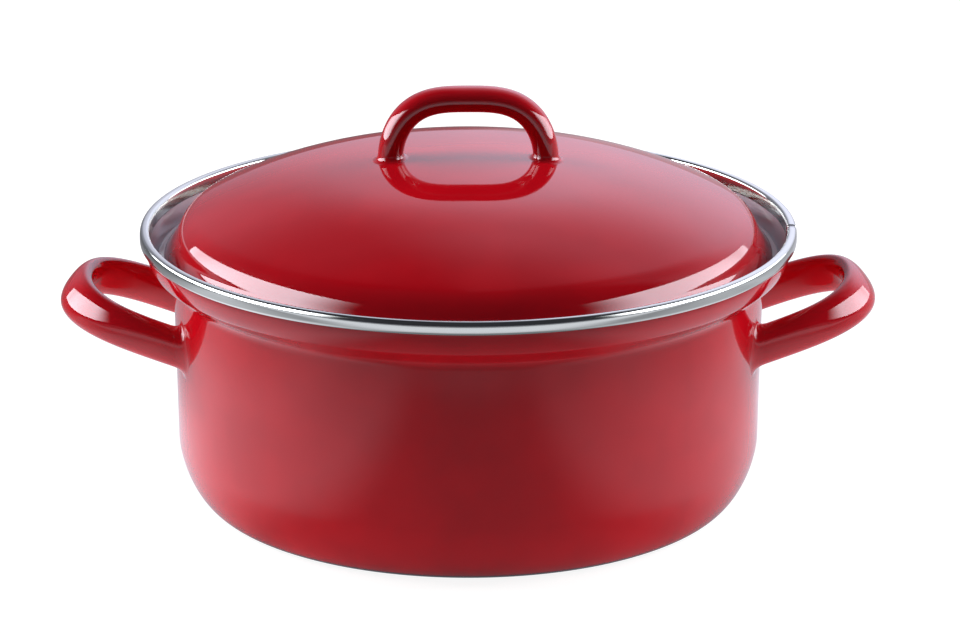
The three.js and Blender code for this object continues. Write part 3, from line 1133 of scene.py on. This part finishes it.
@dataclass(frozen=True)
class Softbox:
    """A long upright softbox beside the pot, from in front of it to behind it.

    It stands in a plane whose nearest point lies at the given distance and bearing, a bearing
    being an angle from the photographer's side. Its ends are given by bearing too. A lamp lights
    surfaces, and a glowing panel just in front of it is what they mirror. The panel glows by
    rise * fall over its span, the tangent of the bearing counted from the nearest point.
    """

    side: Side
    light: float
    glow: float
    top: float
    bottom: float = 0.2
    distance: float = 1.5
    bearing: float = 64 * DEGREE
    front_end: float = 43.5 * DEGREE
    rear_end: float = 138 * DEGREE
    rise: Step = Step(-0.39, 0.16)
    fall: Step = Step(0.45, 2.4, 1.0, 0.42)
    tint: Colour = (1.0, 1.0, 1.1)
    lamp_setback: float = 1.03
    lamp_front_end: float = 83 * DEGREE
    lamp_bottom: float = 0.6
    lamp_top: float = 1.8

    def axes(self) -> tuple[Array, Array]:
        """Returns the direction of the plane's nearest point, and the level one in the plane."""
        sign = self.side.value
        normal = np.array([sign * math.sin(self.bearing), -math.cos(self.bearing), 0.0])
        return normal, np.array([-sign * normal[1], sign * normal[0], 0.0])

    def build(self) -> None:
        """Adds the lamp and the panel."""
        self.lamp()
        self.panel()

    def lamp(self) -> None:
        """Adds the lamp: a rectangle of even radiance, so its power is radiance * area * pi."""
        normal, sideways = self.axes()
        distance = self.distance * self.lamp_setback
        start, end = (distance * math.tan(bearing - self.bearing)
                      for bearing in (self.lamp_front_end, self.rear_end))
        middle = (normal * distance + sideways * (start + end) / 2
                  + np.array([0.0, 0.0, (self.lamp_bottom + self.lamp_top) / 2]))
        name = f"softbox_{self.side.name.lower()}"
        lamp = bpy.data.lights.new(name, "AREA")
        lamp.shape = "RECTANGLE"
        lamp.size, lamp.size_y = end - start, self.lamp_top - self.lamp_bottom
        lamp.energy = self.light * math.pi * lamp.size * lamp.size_y
        box = bpy.data.objects.new(name, lamp)
        up = Vector((0, 0, 1))
        turned_axes = Matrix((up.cross(Vector(normal)), up, Vector(normal))).transposed()
        box.matrix_world = Matrix.Translation(middle) @ turned_axes.to_4x4()
        box.visible_camera = False
        box.visible_glossy = False
        bpy.context.scene.collection.objects.link(box)

    def panel(self) -> None:
        """Adds the panel, which only mirror rays see."""
        normal, sideways = self.axes()
        span = np.array([math.tan(end - self.bearing) for end in (self.front_end, self.rear_end)])
        foot = self.distance * (normal + span[:, None] * sideways)
        corners_in_order = ((0, self.bottom), (1, self.bottom), (1, self.top), (0, self.top))
        points = [(*foot[end, :2], height) for end, height in corners_in_order]
        panel = add_sheet(f"glowing_panel_{self.side.name.lower()}", points, self.glowing())
        panel.data.attributes.new("span", "FLOAT", "POINT").data.foreach_set(
            "value", span[[0, 1, 1, 0]].astype(np.float32))
        for kind in ("camera", "diffuse", "transmission", "volume_scatter", "shadow"):
            setattr(panel, f"visible_{kind}", False)

    def glowing(self) -> bpy.types.Material:
        """Returns the panel's material: brightest beside the pot, and dimmer to both ends."""
        made, sheet = new_material(f"glowing_panel_{self.side.name.lower()}")
        span = sheet.add("ShaderNodeAttribute", attribute_name="span").outputs["Fac"]
        strength = sheet.product(self.rise.of(sheet, span), self.fall.of(sheet, span), self.glow)
        surface = made.node_tree.nodes["Material Output"].inputs["Surface"]
        sheet.put(sheet.glow("ShaderNodeEmission", self.tint, strength), surface)
        return made


def add_sheet(name: str, points: list[tuple[float, float, float]],
              material: bpy.types.Material) -> bpy.types.Object:
    """Adds a flat four-cornered sheet of the studio.

    Args:
        name: Name of the object and of its mesh.
        points: Its corners in order.
        material: Its material.

    Returns:
        The object, declared as stage.
    """
    mesh = bpy.data.meshes.new(name)
    mesh.from_pydata(points, [], [(0, 1, 2, 3)])
    mesh.materials.append(material)
    sheet = bpy.data.objects.new(name, mesh)
    bpy.context.scene.collection.objects.link(sheet)
    sheet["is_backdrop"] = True
    return sheet


@dataclass(frozen=True)
class Backdrop:
    """The world: white where it is seen, and in mirrors a white wall behind the pot.

    In mirrors the wall is brightest to the right of the middle and fades upwards, and of the
    photographer's side only the horizon glows. Other rays get a soft light from above. The steps
    over a bearing read x by the level distance, and the others read a direction's y or z.
    """

    left_wall: Step = Step(-0.9, -0.35, 0.15, 0.36)
    right_wall: Step = Step(-0.3, 0.15, 0.0, 0.95)
    far_right_wall: Step = Step(0.6, 0.95, 0.0, -0.75)
    foot: Step = Step(-0.1, 0.35, 0.6, 1.0)
    upper: Step = Step(0.42, 0.75, 1.0, 0.45)
    overhead: Step = Step(0.75, 0.97, 1.0, 0.2)
    rear: Step = Step(-0.05, 0.15)
    horizon: Step = Step(0.0, 0.05, 0.3, 0.04)
    tint: Colour = (1.0, 1.0, 1.25)
    top_light: Step = Step(0.75, 1.0, 0.0, 0.95)
    top_light_rear: Step = Step(-0.3, 0.5, 1.0, 0.6)
    least_level: float = 0.001

    def build(self) -> None:
        """Makes the world and its tree."""
        world = bpy.data.worlds.new("studio")
        bpy.context.scene.world = world
        world.use_nodes = True
        world.cycles.sampling_method = "NONE"
        world.node_tree.nodes.remove(world.node_tree.nodes["Background"])
        sheet = NodeSheet(world.node_tree)
        x, y, z = sheet.split(sheet.add("ShaderNodeTexCoord").outputs["Generated"])
        level = sheet.maths("MAXIMUM", sheet.level(x, y), self.least_level)
        bearing = sheet.maths("DIVIDE", x, level)
        left, right, far = (part.of(sheet, bearing) for part in
                            (self.left_wall, self.right_wall, self.far_right_wall))
        wall = sheet.maths("ADD", sheet.maths("ADD", left, right), far)
        wall = sheet.product(
            wall, *(part.of(sheet, z) for part in (self.foot, self.upper, self.overhead)))
        front = self.horizon.of(sheet, z)
        wall = sheet.maths("MULTIPLY_ADD", sheet.maths("SUBTRACT", wall, front),
                           self.rear.of(sheet, y), front)
        rays = sheet.add("ShaderNodeLightPath").outputs
        seen = sheet.maths("MAXIMUM", rays["Is Camera Ray"], rays["Is Transmission Ray"])
        above = sheet.product(self.top_light.of(sheet, z), self.top_light_rear.of(sheet, y))
        plain = sheet.smooth(seen, 0.0, 1.0, above, 1.0)
        sheet.end(sheet.glow("ShaderNodeBackground", (1.0, 1.0, 1.0), plain),
                  sheet.glow("ShaderNodeBackground", self.tint, wall),
                  world.node_tree.nodes["World Output"].inputs["Surface"])


@dataclass(frozen=True)
class Floor:
    """The floor: white with the pot's soft shadow where it is seen, and lit in parts in mirrors.

    In mirrors it glows by sides(x, y) exp(-((y - c) / s)^2) + front(y) + rear(x, y): beside the
    pot, behind it on the right, and far in front. Surfaces get light bounced from near the pot, and
    for diffuse rays the floor also glows beside the pot, a painted bounce light. For rays other
    than the camera's its colour is darker in front of the pot, painted shade that bounces less
    light onto the pot's front.
    """

    size: float = 12.0
    left: Step = Step(-0.155, -0.078, 1.1, 0.0)
    right: Step = Step(0.078, 0.155, 0.0, 0.78)
    outer: Step = Step(0.24, 0.34, 1.0, 0.5)
    side_rear: Step = Step(0.0, 0.12, 1.0, 0.72)
    side_middle: float = -0.02
    side_reach: float = 0.25
    rear_right: Step = Step(0.0, 0.15, 0.0, 0.35)
    rear_start: Step = Step(0.03, 0.13)
    front_near: Step = Step(-0.45, -0.29, 1.0, 0.27)
    front_rear: Step = Step(0.04, 0.2, 1.0, 0.6)
    front_far: Step = Step(-1.3, -0.8, 0.3, 1.0)
    tint: Colour = (1.0, 1.0, 1.13)
    near: Step = Step(-0.3, -0.15)
    beside: Step = Step(0.02, 0.13, 0.2, 1.1)
    # Painted shade: the darker floor colour in front of the pot, for rays other than the camera's.
    dim: Colour = (0.35, 0.35, 0.35)
    pale: Colour = (0.9, 0.9, 0.9)
    shade: Colour = (0.2, 0.2, 0.2)
    glare: float = 0.9

    def build(self) -> None:
        """Adds the floor."""
        half = self.size / 2
        add_sheet("studio_floor", [(-half, -half, 0), (half, -half, 0), (half, half, 0),
                                   (-half, half, 0)], self.material())

    def mirrored(self, sheet: NodeSheet, x: bpy.types.NodeSocket,
                 y: bpy.types.NodeSocket) -> bpy.types.NodeSocket:
        """Returns the glow that mirror rays see.

        Args:
            sheet: The material's tree.
            x: Where a point lies to the right.
            y: Where it lies to the rear.

        Returns:
            The strength of the glow.
        """
        off = sheet.maths("DIVIDE", sheet.maths("SUBTRACT", y, self.side_middle), self.side_reach)
        spread = sheet.maths("EXPONENT", sheet.product(off, off, -1.0))
        sides = sheet.product(
            sheet.maths("ADD", self.left.of(sheet, x), self.right.of(sheet, x)),
            self.outer.of(sheet, sheet.maths("ABSOLUTE", x)), self.side_rear.of(sheet, y))
        rear = sheet.product(self.rear_right.of(sheet, x), self.rear_start.of(sheet, y))
        front = sheet.product(
            *(part.of(sheet, y) for part in (self.front_near, self.front_rear, self.front_far)))
        return sheet.maths("ADD", sheet.maths("MULTIPLY_ADD", sides, spread, front), rear)

    def material(self) -> bpy.types.Material:
        """Returns the floor's material."""
        made, sheet = new_material("pale_floor")
        nodes = made.node_tree.nodes
        nodes.remove(nodes["Principled BSDF"])
        x, y, _ = sheet.split(sheet.add("ShaderNodeTexCoord").outputs["Object"])
        rays = sheet.add("ShaderNodeLightPath").outputs
        # Painted shade: the floor's colour fades from pale near the pot to the darker one in front
        # of it, so it bounces less light onto the pot's front.
        near = self.near.of(sheet, y)
        lit = sheet.add("ShaderNodeBsdfDiffuse")
        pale = sheet.mix(near, self.dim, self.pale)
        sheet.put(sheet.mix(rays["Is Camera Ray"], pale, self.shade), lit.inputs["Color"])
        # Painted bounce light: for diffuse rays the floor glows beside the pot.
        beside = self.beside.of(sheet, sheet.maths("ABSOLUTE", x))
        bounced = sheet.product(rays["Is Diffuse Ray"], near, beside)
        strength = sheet.maths("MULTIPLY_ADD", rays["Is Camera Ray"], self.glare, bounced)
        both = sheet.add("ShaderNodeAddShader")
        sheet.put(lit.outputs[0], both.inputs[0])
        sheet.put(sheet.glow("ShaderNodeEmission", (1.0, 1.0, 1.0), strength), both.inputs[1])
        mirrored = sheet.glow("ShaderNodeEmission", self.tint, self.mirrored(sheet, x, y))
        sheet.end(both.outputs[0], mirrored, nodes["Material Output"].inputs["Surface"])
        return made


@dataclass(frozen=True)
class Camera:
    """The camera at the photograph's place.

    It stands on a circle round the aimed point, and looks higher than that point by the angle of
    the rows between the point's pixel and the middle of the image.
    """

    yaw: float = 0.7 * DEGREE
    distance: float = 1.6
    elevation: float = 16.639 * DEGREE
    aim_height: float = 0.1075
    aim_pixel: tuple[float, float] = (468.3, 228.3)
    focal_pixels: float = 4038.0
    sensor: float = 36.0
    image: tuple[int, int] = (960, 634)

    def build(self) -> None:
        """Adds the camera, and has its colours shown as they are."""
        width, height = self.image
        camera = bpy.data.cameras.new("camera")
        camera.sensor_width = self.sensor
        camera.lens = self.focal_pixels / width * self.sensor
        camera.shift_x = (width / 2 - self.aim_pixel[0]) / width
        lift = math.atan((self.aim_pixel[1] - height / 2) / self.focal_pixels)
        eye = bpy.data.objects.new("camera", camera)
        out = self.distance * math.cos(self.elevation)
        eye.location = (-out * math.sin(self.yaw), -out * math.cos(self.yaw),
                        self.aim_height + self.distance * math.sin(self.elevation))
        eye.rotation_euler = (QUARTER - self.elevation + lift, 0.0, -self.yaw)
        bpy.context.scene.collection.objects.link(eye)
        bpy.context.scene.camera = eye
        bpy.context.scene.view_settings.view_transform = "Standard"


SOFTBOXES = (
    Softbox(Side.LEFT, light=11.8, glow=12.0, top=1.17),
    Softbox(Side.RIGHT, light=10.6, glow=9.5, top=1.06),
)


def corners() -> list[list[float]]:
    """Returns the lowest and highest corner of what is shown, as plain lists."""
    return [[float(value) for value in corner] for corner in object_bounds()]


def main() -> None:
    """Builds the casserole and its studio."""
    logging.basicConfig(level=logging.INFO, format="%(name)s: %(message)s")
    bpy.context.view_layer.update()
    shell_enamel = Enamel("red_enamel_shell")
    lid_enamel = Enamel("red_enamel_lid", thin_width=3.0, line_width=0.6)
    bar_enamel = Enamel("red_enamel_bar", has_line=False)
    pot, lid = Pot(), Lid()
    pot.build(shell_enamel)
    RimBand(pot).build(RolledSteel("rolled_steel"))
    for side in Side:
        SideHandle(pot, side).build(bar_enamel)
    lid.build(lid_enamel)
    LidHandle(lid).build(bar_enamel)
    for part in (*SOFTBOXES, Backdrop(), Floor(), Camera()):
        part.build()


if __name__ == "__main__":
    main()
